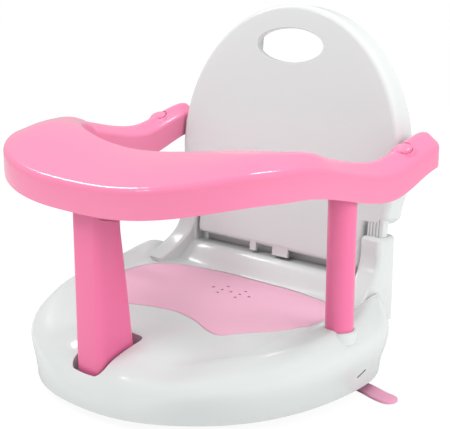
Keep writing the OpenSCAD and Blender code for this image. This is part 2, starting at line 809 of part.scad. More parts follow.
// Coil spring under a button
module button_spring(s) {
    length = 17;
    ring_count = spring_turns * 10;
    color("silver") button_place(s) translate([0, 0, -1.2 - length]) {
        points = [for (i = [0:ring_count]) let (a = 36 * i)
            for (k = [0:5]) let (b = 60 * k, rr = spring_d / 2 - spring_wire / 2 + spring_wire / 2 * cos(b))
                [rr * cos(a), rr * sin(a),
                    spring_wire / 2 + (length - spring_wire) * i / ring_count - spring_wire / 2 * sin(b)]];
        polyhedron(points, stack_faces(ring_count + 1, 6));
    }
}
module button_spring_left() { button_spring(-1); }
module button_spring_right() { button_spring(1); }

// Suction cup with its stud, and a release tab on the rear pair
module suction_cup(s, place, tab) {
    color(pad_pink) translate([s * place[0], place[1], 0]) {
        rotate_extrude($fn = 96) polygon([
            [cup_d / 2 - 3.5, 0], [cup_d / 2, 0], [cup_d / 2, 1.4], [cup_d / 2 - 4, 4.2], [12, 9],
            [6.5, cup_h - fit], [stud_r, cup_h - fit], [stud_r, cup_h + 4 + fit],
            [head_r, cup_h + 4 + fit], [head_r - 1, cup_h + 7], [2, cup_h + 9], [0, cup_h + 9],
            [0, 7.5], [9, 6.4], [cup_d / 2 - 6, 2.6]]);
        if (tab) linear_extrude(tab_t)
            cup_tab(s);
    }
}
module cup_tab(s) {
    difference() {
        union() {
            translate([s * (cup_d / 2 + tab_l - tab_w / 2), -7])
                circle(d = tab_w, $fn = 48);
            polygon([[s * (cup_d / 2 - 2), -tab_w / 2], [s * (cup_d / 2 + tab_l - tab_w / 2), -7 - tab_w / 2],
                [s * (cup_d / 2 + tab_l - tab_w / 2), -7 + tab_w / 2], [s * (cup_d / 2 - 2), tab_w / 2]]);
        }
        circle(d = cup_d - 3, $fn = 96);
    }
}
module suction_cup_front_left() { suction_cup(-1, front_cup, false); }
module suction_cup_front_right() { suction_cup(1, front_cup, false); }
module suction_cup_rear_left() { suction_cup(-1, rear_cup, true); }
module suction_cup_rear_right() { suction_cup(1, rear_cup, true); }

// Self-tapping screw with a pan head, driven upwards
module screw(length) {
    cylinder(h = length, r = 1.45, $fn = 32);
    translate([0, 0, -2])
        cylinder(h = 2.01, r = 3.1, $fn = 32);
}

module ring_screws() {
    color("silver") for (i = screw_stations) let (c = station_mid(i))
        translate([c[0], c[1], c[2] - 0.9])
            screw(14);
}

module post_screws() {
    color("silver") {
        for (s = [-1, 1]) {
            translate([s * post_x, post_y, collar_top - 4 - post_seat - 0.05])
                screw(14);
            translate([0, crotch_screw_y(s), crotch_foot_z - wall - 0.05])
                screw(12);
        }
    }
}

base_shell();
seat_pad();
backrest();
guard_ring_upper();
guard_ring_lower();
crotch_post();
side_post_left();
side_post_right();
release_button_left();
release_button_right();
button_spring_left();
button_spring_right();
suction_cup_front_left();
suction_cup_front_right();
suction_cup_rear_left();
suction_cup_rear_right();
ring_screws();
post_screws();
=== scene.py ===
import math

import bmesh
import bpy
import numpy as np
from mathutils import Matrix, Vector


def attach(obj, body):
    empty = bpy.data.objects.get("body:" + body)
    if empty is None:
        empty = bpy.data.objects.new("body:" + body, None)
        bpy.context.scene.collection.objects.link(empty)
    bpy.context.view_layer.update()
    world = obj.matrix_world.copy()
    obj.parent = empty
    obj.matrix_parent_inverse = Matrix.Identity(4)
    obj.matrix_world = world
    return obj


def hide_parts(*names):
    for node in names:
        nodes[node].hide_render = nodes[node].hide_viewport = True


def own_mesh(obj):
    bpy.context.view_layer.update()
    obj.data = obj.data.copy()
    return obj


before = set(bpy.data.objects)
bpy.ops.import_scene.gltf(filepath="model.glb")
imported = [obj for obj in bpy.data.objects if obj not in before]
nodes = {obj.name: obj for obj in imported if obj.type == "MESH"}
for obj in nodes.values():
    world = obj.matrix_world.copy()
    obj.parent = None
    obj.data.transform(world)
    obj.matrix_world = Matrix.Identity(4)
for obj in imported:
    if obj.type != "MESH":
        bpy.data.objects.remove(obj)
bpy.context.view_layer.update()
print("stage: frame loaded")

# sizes are in millimetres, but those of camera, lamps, floor and scattered parts are in metres
mm = 0.001
midY = 23.0  # y of the base's widest line
fit = 0.3  # room between a plug and its seat

view = {"lens": 80.0, "sensor": 36.0, "near": 0.01, "place": (0.6226, -0.6499, 0.3651),
        "target": (0.0082, 0.023, 0.144)}
lamps = {
    "key": {"place": (-0.25, -0.85, 1.3), "size": 0.9, "power": 6.7, "glossy": False},
    "side": {"place": (1.25, 0.1, 0.7), "size": 0.8, "power": 5.6, "glossy": False},
    "top": {"place": (0.16, 0.42, 1.4), "size": 0.42, "power": 5.0, "glossy": True},
    "glint": {"place": (-0.86, -0.05, 1.0), "size": 0.24, "power": 1.8, "glossy": True},
    "streak": {"place": (-0.6, -0.8, 1.05), "size": 0.14, "power": 0.6, "glossy": True},
}
lampTarget = (0, 0, 0.15)
studio = {"world": 0.585, "floorGlow": 0.86, "floorLight": 1.09, "floorTone": 0.9, "floorHalf": 6,
          "floorZ": -0.0003}
white = (1.0, 1.0, 1.0, 1.0)


def aim(obj, target):
    toward = Vector(target) - obj.location
    obj.rotation_euler = toward.to_track_quat("-Z", "Y").to_euler()


def makeCamera():
    data = bpy.data.cameras.new("camera")
    data.lens = view["lens"]
    data.sensor_width = view["sensor"]
    data.clip_start = view["near"]
    camera = newObject("camera", data)
    camera.location = view["place"]
    aim(camera, view["target"])
    bpy.context.scene.camera = camera


def makeLamps():
    for name, facts in lamps.items():
        data = bpy.data.lights.new(name, "AREA")
        data.shape = "DISK"
        data.size = facts["size"]
        data.energy = facts["power"]
        lamp = newObject(name, data)
        lamp.location = facts["place"]
        lamp.visible_glossy = facts["glossy"]  # only some may mirror in the shells
        aim(lamp, lampTarget)


class Value:
    def __init__(self, shader, socket):
        self.shader = shader
        self.socket = socket

    def join(self, operation, other, swap=False):
        pair = (other, self) if swap else (self, other)
        return self.shader.node("ShaderNodeMath", {"operation": operation}, {0: pair[0], 1: pair[1]})

    def __add__(self, other):
        return self.join("ADD", other)

    __radd__ = __add__

    def __sub__(self, other):
        return self.join("SUBTRACT", other)

    def __rsub__(self, other):
        return self.join("SUBTRACT", other, True)

    def __mul__(self, other):
        return self.join("MULTIPLY", other)

    __rmul__ = __mul__


class Shader:
    def __init__(self, owner):  # a material or the world
        self.owner = owner
        owner.use_nodes = True
        self.tree = owner.node_tree
        self.tree.nodes.clear()

    def node(self, kind, settings=None, inputs=None, output=0):
        made = self.tree.nodes.new(kind)
        for key, value in (settings or {}).items():
            setattr(made, key, value)
        for key, value in (inputs or {}).items():
            socket = made.inputs[key]
            if isinstance(value, Value):
                self.tree.links.new(value.socket, socket)
            else:
                socket.default_value = value
        return Value(self, made.outputs[output]) if made.outputs else made

    def place(self):
        return self.node("ShaderNodeTexCoord", output="Object")

    def noise(self, vector, scale, detail):
        facts = {"Vector": vector, "Scale": scale, "Detail": detail, "Roughness": 0.5}
        return self.node("ShaderNodeTexNoise", {}, facts, "Fac")

    def mix(self, factor, first, second):
        return self.node("ShaderNodeMix", {"data_type": "RGBA"}, {0: factor, 6: first, 7: second}, 2)

    def finish(self, surface, kind="ShaderNodeOutputMaterial"):
        self.node(kind, {}, {"Surface": surface})
        return self.owner


# what all moulded pieces share, then one dictionary for each finish
moulding = {"ior": 1.49, "coatRough": 0.07, "bumpDepth": 0.0004, "ripple": 0.7, "grain": 0.3,
            "bleed": (0.004, 0.0025, 0.0025)}
finishes = {
    "whiteShell": {
        "colour": (0.79, 0.825, 0.817), "cloud": 0.004, "cloudScale": 14.0,
        "rough": 0.22, "roughScale": 60.0, "roughSpread": 0.03, "coat": 0.2,
        "rippleScale": 20.0, "grainScale": 400.0, "bump": 0.004},
    "pinkShell": {
        "colour": (0.97, 0.255, 0.445), "cloud": 0.004, "cloudScale": 16.0,
        "rough": 0.14, "roughScale": 60.0, "roughSpread": 0.02, "coat": 0.35,
        "rippleScale": 12.0, "grainScale": 300.0, "bump": 0.002},
    "pinkPost": {
        "colour": (0.97, 0.185, 0.395), "cloud": 0.01, "cloudScale": 16.0,
        "rough": 0.32, "roughScale": 60.0, "roughSpread": 0.04, "coat": 0.15,
        "rippleScale": 30.0, "grainScale": 900.0, "bump": 0.012},
    "softPad": {
        "colour": (0.98, 0.54, 0.7), "cloud": 0.015, "cloudScale": 22.0,
        "rough": 0.6, "roughScale": 120.0, "roughSpread": 0.06,
        "rippleScale": 160.0, "grainScale": 1700.0, "bump": 0.12},
    "softCup": {
        "colour": (0.97, 0.42, 0.62), "cloud": 0.012, "cloudScale": 30.0,
        "rough": 0.42, "roughScale": 90.0, "roughSpread": 0.05, "soft": 0.1,
        "rippleScale": 80.0, "grainScale": 1200.0, "bump": 0.05},
}
steelLook = {"dark": (0.5, 0.5, 0.51, 1.0), "pale": (0.66, 0.66, 0.67, 1.0), "stretch": (1.0, 1.0, 12.0),
             "brushScale": 800.0, "rough": 0.28, "roughSpread": 0.14}


def tint(colour, factor):
    return tuple(min(1.0, c * factor) for c in colour) + (1.0,)


def plastic(name, facts):
    s = Shader(bpy.data.materials.new(name))
    spot = s.place()
    cloudy = s.noise(spot, facts["cloudScale"], 3.0)
    darker = tint(facts["colour"], 1.0 - facts["cloud"])
    paler = tint(facts["colour"], 1.0 + facts["cloud"])
    tone = s.mix(cloudy, darker, paler)
    rough = facts["rough"] + (s.noise(spot, facts["roughScale"], 4.0) - 0.5) * facts["roughSpread"]
    ripple = s.noise(spot, facts["rippleScale"], 3.0)
    grain = s.noise(spot, facts["grainScale"], 2.0)
    relief = ripple * moulding["ripple"] + grain * moulding["grain"]
    bump = s.node("ShaderNodeBump", {}, {
        "Strength": facts["bump"], "Distance": moulding["bumpDepth"], "Height": relief})
    shade = s.node("ShaderNodeBsdfPrincipled", {}, {
        "Base Color": tone, "Roughness": rough, "IOR": moulding["ior"], "Normal": bump,
        "Subsurface Weight": facts.get("soft", 0.0), "Subsurface Radius": moulding["bleed"],
        "Coat Weight": facts.get("coat", 0.0), "Coat Roughness": moulding["coatRough"]})
    return s.finish(shade)


def makeSteel():
    s = Shader(bpy.data.materials.new("steel"))
    drawn = s.node("ShaderNodeMapping", {}, {"Vector": s.place(), "Scale": steelLook["stretch"]})
    brush = s.noise(drawn, steelLook["brushScale"], 3.0)
    tone = s.mix(brush, steelLook["dark"], steelLook["pale"])
    rough = steelLook["rough"] + brush * steelLook["roughSpread"]
    shade = s.node("ShaderNodeBsdfPrincipled", {}, {"Base Color": tone, "Metallic": 1.0, "Roughness": rough})
    return s.finish(shade)


materials = {name: plastic(name, facts) for name, facts in finishes.items()}
materials["steel"] = makeSteel()
print("stage: materials made")


def newObject(name, data):
    obj = bpy.data.objects.new(name, data)
    bpy.context.scene.collection.objects.link(obj)
    return obj


def meshFrom(name, points, faces):
    mesh = bpy.data.meshes.new(name)
    mesh.from_pydata([tuple(float(c) * mm for c in p) for p in points], [], faces)
    mesh.validate()
    work = bmesh.new()
    work.from_mesh(mesh)
    bmesh.ops.remove_doubles(work, verts=work.verts, dist=1e-7)
    bmesh.ops.recalc_face_normals(work, faces=work.faces)
    work.to_mesh(mesh)
    work.free()
    return mesh


def stack(loops, capStart=None, capEnd=None):
    # joins closed loops of equal length; an end is flat, or a fan to a point
    loops = np.asarray(loops, dtype=float)
    m, n, _ = loops.shape
    points = [tuple(p) for p in loops.reshape(-1, 3)]
    faces = []
    for j in range(m - 1):
        for i in range(n):
            k = (i + 1) % n
            faces.append((j * n + i, j * n + k, (j + 1) * n + k, (j + 1) * n + i))
    for cap, row in ((capStart, 0), (capEnd, m - 1)):
        if cap is None:
            faces.append(tuple(row * n + i for i in range(n)))
        else:
            points.append(tuple(cap))
            centre = len(points) - 1
            for i in range(n):
                faces.append((row * n + i, row * n + (i + 1) % n, centre))
    return points, faces


def quarter(steps):
    return [math.radians(90 * q / steps) for q in range(steps + 1)]


def lathe(profile, steps):
    turns = [2 * math.pi * i / steps for i in range(steps)]
    return [[(r * math.cos(a), r * math.sin(a), z) for a in turns] for r, z in profile]


def roundedRect(w, d, r, steps=8):
    out = []
    for sx, sy, start in ((1, 1, 0), (-1, 1, 90), (-1, -1, 180), (1, -1, 270)):
        for q in range(steps + 1):
            a = math.radians(start + 90 * q / steps)
            out.append((sx * (w / 2 - r) + r * math.cos(a), sy * (d / 2 - r) + r * math.sin(a)))
    return out


def solid(name, loops, capStart=None, capEnd=None, turn=None):
    points, faces = stack(loops, capStart, capEnd)
    if turn is not None:
        points = [tuple(turn @ Vector(p)) for p in points]
    return newObject(name, meshFrom(name, points, faces))


def leaning(place, degrees):
    return Matrix.Translation(place) @ Matrix.Rotation(math.radians(degrees), 4, "X")


def boxLoft(name, sections):
    loops = []
    for x, y, z, w, d, r in sections:
        loops.append([(x + p[0], y + p[1], z) for p in roundedRect(w, d, r)])
    return solid(name, loops)


def tube(name, x, y, z0, z1, r, steps=64):
    return solid(name, lathe([(r, z0), (r, z1)], steps), turn=Matrix.Translation((x, y, 0)))


def plate(name, centre, size, turn=None, corner=0.01):
    x, y, z = centre
    w, d, h = size
    outline = roundedRect(w, d, corner, 4)
    loops = [[(x + p[0], y + p[1], z + k * h / 2) for p in outline] for k in (-1, 1)]
    return solid(name, loops, turn=turn)


def carve(target, cutters, operation="DIFFERENCE"):
    for cutter in cutters:
        step = target.modifiers.new("carve", "BOOLEAN")
        step.operation = operation
        step.solver = "MANIFOLD"
        step.object = cutter
    graph = bpy.context.evaluated_depsgraph_get()
    mesh = bpy.data.meshes.new_from_object(target.evaluated_get(graph))
    target.modifiers.clear()
    old = target.data
    target.data = mesh
    bpy.data.meshes.remove(old)
    for cutter in cutters:
        bpy.data.objects.remove(cutter)
    return target


def smoothOver(obj, degrees):
    # shades smooth apart from edges sharper than this
    mesh = obj.data
    work = bmesh.new()
    work.from_mesh(mesh)
    bmesh.ops.remove_doubles(work, verts=work.verts, dist=2e-6)
    bmesh.ops.dissolve_degenerate(work, edges=work.edges, dist=2e-6)
    work.to_mesh(mesh)
    work.free()
    mesh.shade_smooth()
    mesh.set_sharp_from_angle(angle=math.radians(degrees))


class Scatter:
    def __init__(self, name):
        self.tree = bpy.data.node_groups.new(name, "GeometryNodeTree")
        self.tree.interface.new_socket("Places", in_out="INPUT", socket_type="NodeSocketGeometry")
        self.tree.interface.new_socket("Geometry", in_out="OUTPUT", socket_type="NodeSocketGeometry")
        self.sockets = {}
        self.start = self.tree.nodes.new("NodeGroupInput")

    def size(self, name, value, kind="NodeSocketFloat"):
        socket = self.tree.interface.new_socket(name, in_out="INPUT", socket_type=kind)
        socket.default_value = value
        self.sockets[name] = socket.identifier
        return self.start.outputs[name]

    def node(self, kind, settings=None, inputs=None):
        made = self.tree.nodes.new(kind)
        for key, value in (settings or {}).items():
            setattr(made, key, value)
        for key, value in (inputs or {}).items():
            if isinstance(value, bpy.types.NodeSocket):
                self.tree.links.new(value, made.inputs[key])
            else:
                made.inputs[key].default_value = value
        return made

    def moved(self, part, key, value):
        return self.node("GeometryNodeTransform", {}, {"Geometry": part.outputs[0], key: value})

    def finish(self, part, material, turn=(0.0, 0.0, 0.0)):
        points = self.node("GeometryNodeMeshToPoints", {}, {"Mesh": self.start.outputs["Places"]})
        put = self.node("GeometryNodeInstanceOnPoints", {}, {
            "Points": points.outputs[0], "Instance": part.outputs[0], "Rotation": turn})
        whole = self.node("GeometryNodeRealizeInstances", {}, {"Geometry": put.outputs[0]})
        painted = self.node("GeometryNodeSetMaterial", {}, {
            "Geometry": whole.outputs[0], "Material": materials[material]})
        out = self.tree.nodes.new("NodeGroupOutput")
        self.tree.links.new(painted.outputs[0], out.inputs[0])

    def apply(self, name, places, values, turn=None):
        mesh = bpy.data.meshes.new(name + "Places")
        mesh.from_pydata([tuple(c * mm for c in p) for p in places], [], [])
        obj = newObject(name, mesh)
        step = obj.modifiers.new("scatter", "NODES")
        step.node_group = self.tree
        for key, value in values.items():
            step[self.sockets[key]] = value
        graph = bpy.context.evaluated_depsgraph_get()
        made = bpy.data.meshes.new_from_object(obj.evaluated_get(graph))
        obj.modifiers.clear()
        obj.data = made
        bpy.data.meshes.remove(mesh)
        if turn is not None:
            made.transform(Matrix.Scale(mm, 4) @ turn @ Matrix.Scale(1 / mm, 4))
        return obj


def dress(obj, material, slot, body, *replaced):
    obj.data.materials.clear()
    obj.data.materials.append(materials[material])
    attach(obj, body)
    if replaced:
        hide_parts(*replaced)
    print("piece:", obj.name, len(obj.data.polygons))


def smooth(v):
    c = np.clip(v, 0.0, 1.0)
    return c * c * (3 - 2 * c)


def blendTo(a, b, f):
    return a + (b - a) * f


base = {
    "half": 161.0, "front": 178.0, "rear": 118.0, "frontPower": 2.35, "rearPower": 2.6,  # outline from above
    "edge": 8.0, "wall": 2.6, "seat": 61.0, "dish": 5.0, "ridge": 83.0, "ridgeAt": 81.0, "ridgeOver": 26,
    "rimFront": 4, "rimMiddle": 5.5, "rimRear": 13.5,
    "saddleDrop": 4.0, "channel": 8.0, "channelX": 72.0, "channelWide": 32.0, "dip": 9, "dipWide": 30,
    "rollFrom": 0.93, "rollSooner": 0.17, "rollPower": 0.46,  # how the top turns down into the side
    "shoulder": 5.5, "shoulderZ": 50, "shoulderTall": 20,  # the side stands out here
    "tuck": 4, "tuckCorner": 6, "tuckZ": 8, "tuckTall": 34,  # and is drawn in here
    "spreadFrom": 0.85, "spreadOver": 0.12, "ringPoints": 220,
    "ridgeWall": (208, 2.6, 10.8), "ridgeWallBehind": 16.8, "ridgeWallZ": 84.4,
}
base["rim"] = 0.907 * base["half"]
padFacts = {
    "half": base["half"] - 38.0, "back": 60.0, "front": 99.0, "notch": 58.0, "notchAngle": 45.5, "power": 3.4,
    "waist": 0.21, "waistAt": 62, "waistWide": 20, "thick": 4.0, "proud": 0.4, "edge": 2.2, "crown": 0.5,
}


def baseEdge(t):
    s, c = np.sin(t), np.cos(t)
    power = np.where(s >= 0, base["rearPower"], base["frontPower"])
    length = np.where(s >= 0, base["rear"], base["front"])
    across = base["half"] * np.sign(c) * np.abs(c) ** (2 / power)
    return across, length * np.sign(s) * np.abs(s) ** (2 / power)


def rimHeight(v):
    low = base["seat"] + base["rimFront"]
    return low + base["rimMiddle"] * smooth((v + 70) / 60) + base["rimRear"] * smooth((v + 4) / 64)


def topAt(x, v):
    # height of the moulding's top at x, and v behind midY
    x, v = np.asarray(x, float), np.asarray(v, float)
    seat = base["seat"] + base["dish"] * np.minimum(1, np.abs(x) / padFacts["half"]) ** 2
    channel = base["channel"] * np.exp(-((np.abs(x) - base["channelX"]) / base["channelWide"]) ** 2)
    channel = channel * smooth((-v - 0.4 * base["front"]) / 60)
    toRim = smooth((np.abs(x) - padFacts["half"]) / (base["rim"] - padFacts["half"]))
    flat = blendTo(seat, rimHeight(v), toRim)
    dip = base["dip"] * np.exp(-(x / base["dipWide"]) ** 2) * smooth((-v - 110) / 40)
    flat = flat - base["saddleDrop"] * smooth((-v - 60) / 50) - channel - dip
    return blendTo(flat, base["ridge"], smooth((v - base["ridgeAt"] + base["ridgeOver"]) / base["ridgeOver"]))


def domeRings():
    top = list(np.linspace(0.04, 0.7, 34))
    side = [1 - (1 - f) ** 1.7 * 0.3 for f in np.linspace(0.02, 1, 46)]  # closer near the edge
    return top + side


def domeLoops(inset, cut):
    steps = base["ringPoints"]
    t = 2 * math.pi * np.arange(steps) / steps
    ex, ey = baseEdge(t)
    ahead, aside = np.maximum(0, -np.sin(t)), np.abs(np.cos(t))
    start = base["rollFrom"] - base["rollSooner"] * ahead ** 2
    tuck = base["tuck"] + base["tuckCorner"] * ahead * aside
    k = 1 - inset / base["half"]
    loops = []
    for r in domeRings():
        s = np.maximum(0, (r - start) / (1 - start))
        roll = np.maximum(0, 1 - s * s) ** base["rollPower"]
        z = blendTo(base["edge"], topAt(r * ex, r * ey), roll) - inset
        if r >= 1:
            z = np.full(steps, base["edge"] - cut)
        push = base["shoulder"] * np.exp(-((z + inset - base["shoulderZ"]) / base["shoulderTall"]) ** 2)
        push = push - tuck * (1 - smooth((z + inset - base["tuckZ"]) / base["tuckTall"]))
        spread = smooth((r - base["spreadFrom"]) / base["spreadOver"])
        wide = 1 + push * smooth(1.5 * aside) * spread / base["half"]
        loops.append(np.stack([k * r * ex * wide, midY + k * r * ey * wide, z], axis=1))
    return loops


def makeDome(name, inset, cut):
    top = (0, midY, float(topAt(0, 0)) - inset)
    return solid(name, domeLoops(inset, cut)[::-1], None, top)


tower = {
    "x": 119.0, "y": 113.5, "w": 23.0, "d": 27.0, "foot": 44.0, "top": 126.0, "corner": 5,
    "root": (12, 20, 11), "sweep": 30.0, "longer": 14, "sweepZ": 70.0, "sweepTall": 40,
    "sweepPower": 2.2, "sweepBack": 4.0, "fan": 8, "hollowLower": 3.2,
}
post = {"x": 148.5, "y": 14.5, "d": 24.5, "wall": 2.5, "bore": 1.6, "plug": 18, "floor": 12, "intoRing": 11,
        "seatDown": 22, "seatUp": 6}
collar = {"top": float(rimHeight(-8.5)) - 2.5, "foot": 34, "shoulder": 10, "lean": 9, "root": 8, "wide": 3.2,
          "roundZ": 3.5, "roundR": 2.4}
slit = {"x": 159, "behind": 12, "z": 23, "size": (16, 12, 2.4), "tilt": 20}


def towerBody(name, s, inset=0.0):
    x, y, w, d = s * tower["x"], tower["y"], tower["w"] - 2 * inset, tower["d"] - 2 * inset
    foot, top = tower["foot"] + inset, tower["top"]
    corner = tower["corner"] - inset * 0.7
    low = 4.8 if inset else 10.0
    rx, ry, rz = tower["root"]
    rows = []
    for f in (0, 0.25, 0.5, 0.75):
        g = 1 - f
        rows.append((x - s * rx * g, y - ry * g, foot - rz * g, blendTo(low, w, f), blendTo(low, d, f),
                     blendTo(low * 0.4, corner, f)))
    last = top - 20 if inset else top - 4
    rows += [(x, y, z, w, d, corner) for z in np.linspace(foot, last, 12)]
    if not inset:
        for a in quarter(7)[1:]:
            c = 3.6 * (1 - math.cos(a))
            rows.append((x, y, top - 4 + 4 * math.sin(a), w - 2 * c, d - 2 * c, corner - 0.5 * c))
    return boxLoft(name, rows)


def towerSweep(name, s, inset=0.0):
    # the tower's front runs down into the base in a long curve
    w = tower["w"] - 0.4 - 2 * inset
    levels = np.linspace(76, 102, 20) if inset else np.linspace(68, 110, 44)
    lower = tower["hollowLower"] if inset else 0.0
    reach = tower["sweep"] + (0 if inset else tower["longer"])
    corner = 2.5 if inset else 4.0
    loops = []
    for z in [60] + list(levels):
        share = float(np.clip((z + lower - tower["sweepZ"]) / tower["sweepTall"], 0, 1))
        f = (1 - share) ** tower["sweepPower"]
        y0, y1 = -tower["d"] / 2 - reach * f + inset, tower["sweepBack"]
        loop = []
        for px, py in roundedRect(w, y1 - y0, corner):
            py += (y0 + y1) / 2
            px += s * tower["x"]
            loop.append((px + s * tower["fan"] * f * (y1 - py) / (y1 - y0), tower["y"] + py, z))
        loops.append(loop)
    return solid(name, loops)


def makeCollar(s):
    x, y, r = s * post["x"], post["y"], post["d"] / 2 + collar["wide"]
    rows = []
    for f in np.linspace(0, 1, 8):
        z = blendTo(collar["top"] - collar["foot"], collar["top"] - collar["shoulder"], f)
        rows.append((x - s * collar["lean"] * (1 - f), z, blendTo(collar["root"], r, f ** 0.8)))
    for a in quarter(7):
        z = collar["top"] - collar["roundZ"] + collar["roundZ"] * math.sin(a)
        rows.append((x, z, r - collar["roundR"] * (1 - math.cos(a))))
    turns = np.linspace(0, 2 * math.pi, 64, endpoint=False)
    loops = [[(cx + cr * math.cos(t), y + cr * math.sin(t), z) for t in turns] for cx, z, cr in rows]
    return solid("collar", loops)


def pocketLoft(name, z0, z1, grow):
    y = crotch["y"] + crotch["footDepth"] / 2 + 1
    w, d, r = crotch["w"] + 2 * grow, crotch["footDepth"] + 5 + 2 * grow, 6 + grow / 2
    return boxLoft(name, [(0, y, z0, w, d, r), (0, y, z1, w, d, r)])


def padRadius(t):
    c, s = np.abs(np.cos(t)), np.abs(np.sin(t))
    length = (padFacts["front"] + padFacts["back"]) / 2
    power = padFacts["power"]
    full = 1 / ((c / padFacts["half"]) ** power + (s / length) ** power) ** (1 / power)
    away = np.abs(np.degrees(t) % 360 - 270)
    narrower = np.exp(-((away - padFacts["waistAt"]) / padFacts["waistWide"]) ** 2)
    full = full * (1 - padFacts["waist"] * narrower)
    return full - (padFacts["front"] - padFacts["notch"]) * np.exp(-(away / padFacts["notchAngle"]) ** 8)


def padLoop(share, grow, lift, steps=288):
    t = 2 * math.pi * np.arange(steps) / steps
    r = share * (padRadius(t) + grow)
    x, y = r * np.cos(t), midY - (padFacts["front"] - padFacts["back"]) / 2 + r * np.sin(t)
    return np.stack([x, y, topAt(x, y - midY) + lift], axis=1)


def padSolid(name, grow, over, under):
    shares = (0.02, 0.12, 0.25, 0.4, 0.55, 0.7, 0.85, 1.0)
    low = [padLoop(f, grow, -padFacts["thick"] + 0.4 - under) for f in shares]
    high = [padLoop(f, grow, over) for f in shares[::-1]]
    return solid(name, low + high)


drain = {"gap": 11.6, "behind": 17.5, "others": ((-9, 8), (14, 8), (-13, 28), (10, 28)),
         "inBase": {"Radius": 0.0018, "Depth": 0.06}, "inPad": {"Radius": 0.0017, "Depth": 0.04}}
drains = [(drain["gap"] * i, midY + drain["behind"]) for i in range(-2, 3)]
drains += [(x, midY + behind) for x, behind in drain["others"]]
screw = {
    "sizes": {"Shank Radius": 0.0014, "Head Radius": 0.003, "Cross Width": 0.0008, "Seed": 7},
    "crossDeep": 0.0016, "crossZ": -0.0017, "flatten": 0.6, "headTall": 1.9, "apart": 8,
    "sets": (("ring_screws", "ringScrews", 0.0125), ("post_screws", "postScrews", 0.0115)),
}


def screwScatter():
    work = Scatter("screws")
    length = work.size("Length", 0.0125)
    shank = work.size("Shank Radius", 0.0014)
    head = work.size("Head Radius", 0.003)
    cross = work.size("Cross Width", 0.0008)
    seed = work.size("Seed", 7, "NodeSocketInt")
    stem = work.node("GeometryNodeMeshCylinder", {}, {"Vertices": 24, "Radius": shank, "Depth": length})
    half = work.node("ShaderNodeMath", {"operation": "MULTIPLY"}, {0: length, 1: 0.5})
    lift = work.node("ShaderNodeCombineXYZ", {}, {"Z": half.outputs[0]})
    stem = work.moved(stem, "Translation", lift.outputs[0])
    ball = work.node("GeometryNodeMeshUVSphere", {}, {"Segments": 28, "Rings": 14, "Radius": head})
    flat = work.moved(ball, "Scale", (1.0, 1.0, screw["flatten"]))
    # the ball loses its upper half, and a cross is cut in the rest
    above = work.node("GeometryNodeMeshCube", {}, {"Size": (0.02, 0.02, 0.01)})
    cuts = [work.moved(above, "Translation", (0, 0, 0.005))]
    for along, over in (("X", "Y"), ("Y", "X")):
        size = work.node("ShaderNodeCombineXYZ", {}, {along: head, over: cross, "Z": screw["crossDeep"]})
        bar = work.node("GeometryNodeMeshCube", {}, {"Size": size.outputs[0]})
        cuts.append(work.moved(bar, "Translation", (0, 0, screw["crossZ"])))
    pan = work.node("GeometryNodeMeshBoolean", {"operation": "DIFFERENCE"}, {"Mesh 1": flat.outputs[0]})
    for cut in cuts:
        work.tree.links.new(cut.outputs[0], pan.inputs["Mesh 2"])
    both = work.node("GeometryNodeJoinGeometry")
    for part in (stem, pan):
        work.tree.links.new(part.outputs[0], both.inputs[0])
    spin = work.node("FunctionNodeRandomValue", {"data_type": "FLOAT"}, {2: 0.0, 3: math.pi, "Seed": seed})
    turn = work.node("ShaderNodeCombineXYZ", {}, {"Z": spin.outputs[1]})
    work.finish(both, "steel", turn.outputs[0])
    return work


def drainScatter():
    work = Scatter("drains")
    radius = work.size("Radius", 0.0018)
    depth = work.size("Depth", 0.06)
    pin = work.node("GeometryNodeMeshCylinder", {}, {"Vertices": 20, "Radius": radius, "Depth": depth})
    work.finish(pin, "softPad")
    return work


def ribScatter():
    work = Scatter("tenonRibs")
    wide = work.size("Width", 0.0015)
    deep = work.size("Depth", 0.0016)
    tall = work.size("Height", 0.022)
    size = work.node("ShaderNodeCombineXYZ", {}, {"X": wide, "Y": deep, "Z": tall})
    rib = work.node("GeometryNodeMeshCube", {}, {"Size": size.outputs[0]})
    work.finish(rib, "whiteShell")
    return work


def coilScatter():
    work = Scatter("coils")
    wire = work.size("Wire Radius", 0.0005)
    radius = work.size("Coil Radius", 0.0035)
    tall = work.size("Height", 0.016)
    turns = work.size("Turns", 4.0)
    path = work.node("GeometryNodeCurveSpiral", {}, {
        "Resolution": 32, "Rotations": turns, "Start Radius": radius, "End Radius": radius, "Height": tall})
    section = work.node("GeometryNodeCurvePrimitiveCircle", {}, {"Resolution": 14, "Radius": wire})
    coil = work.node("GeometryNodeCurveToMesh", {}, {
        "Curve": path.outputs[0], "Profile Curve": section.outputs[0], "Fill Caps": True})
    work.finish(coil, "steel")
    return work


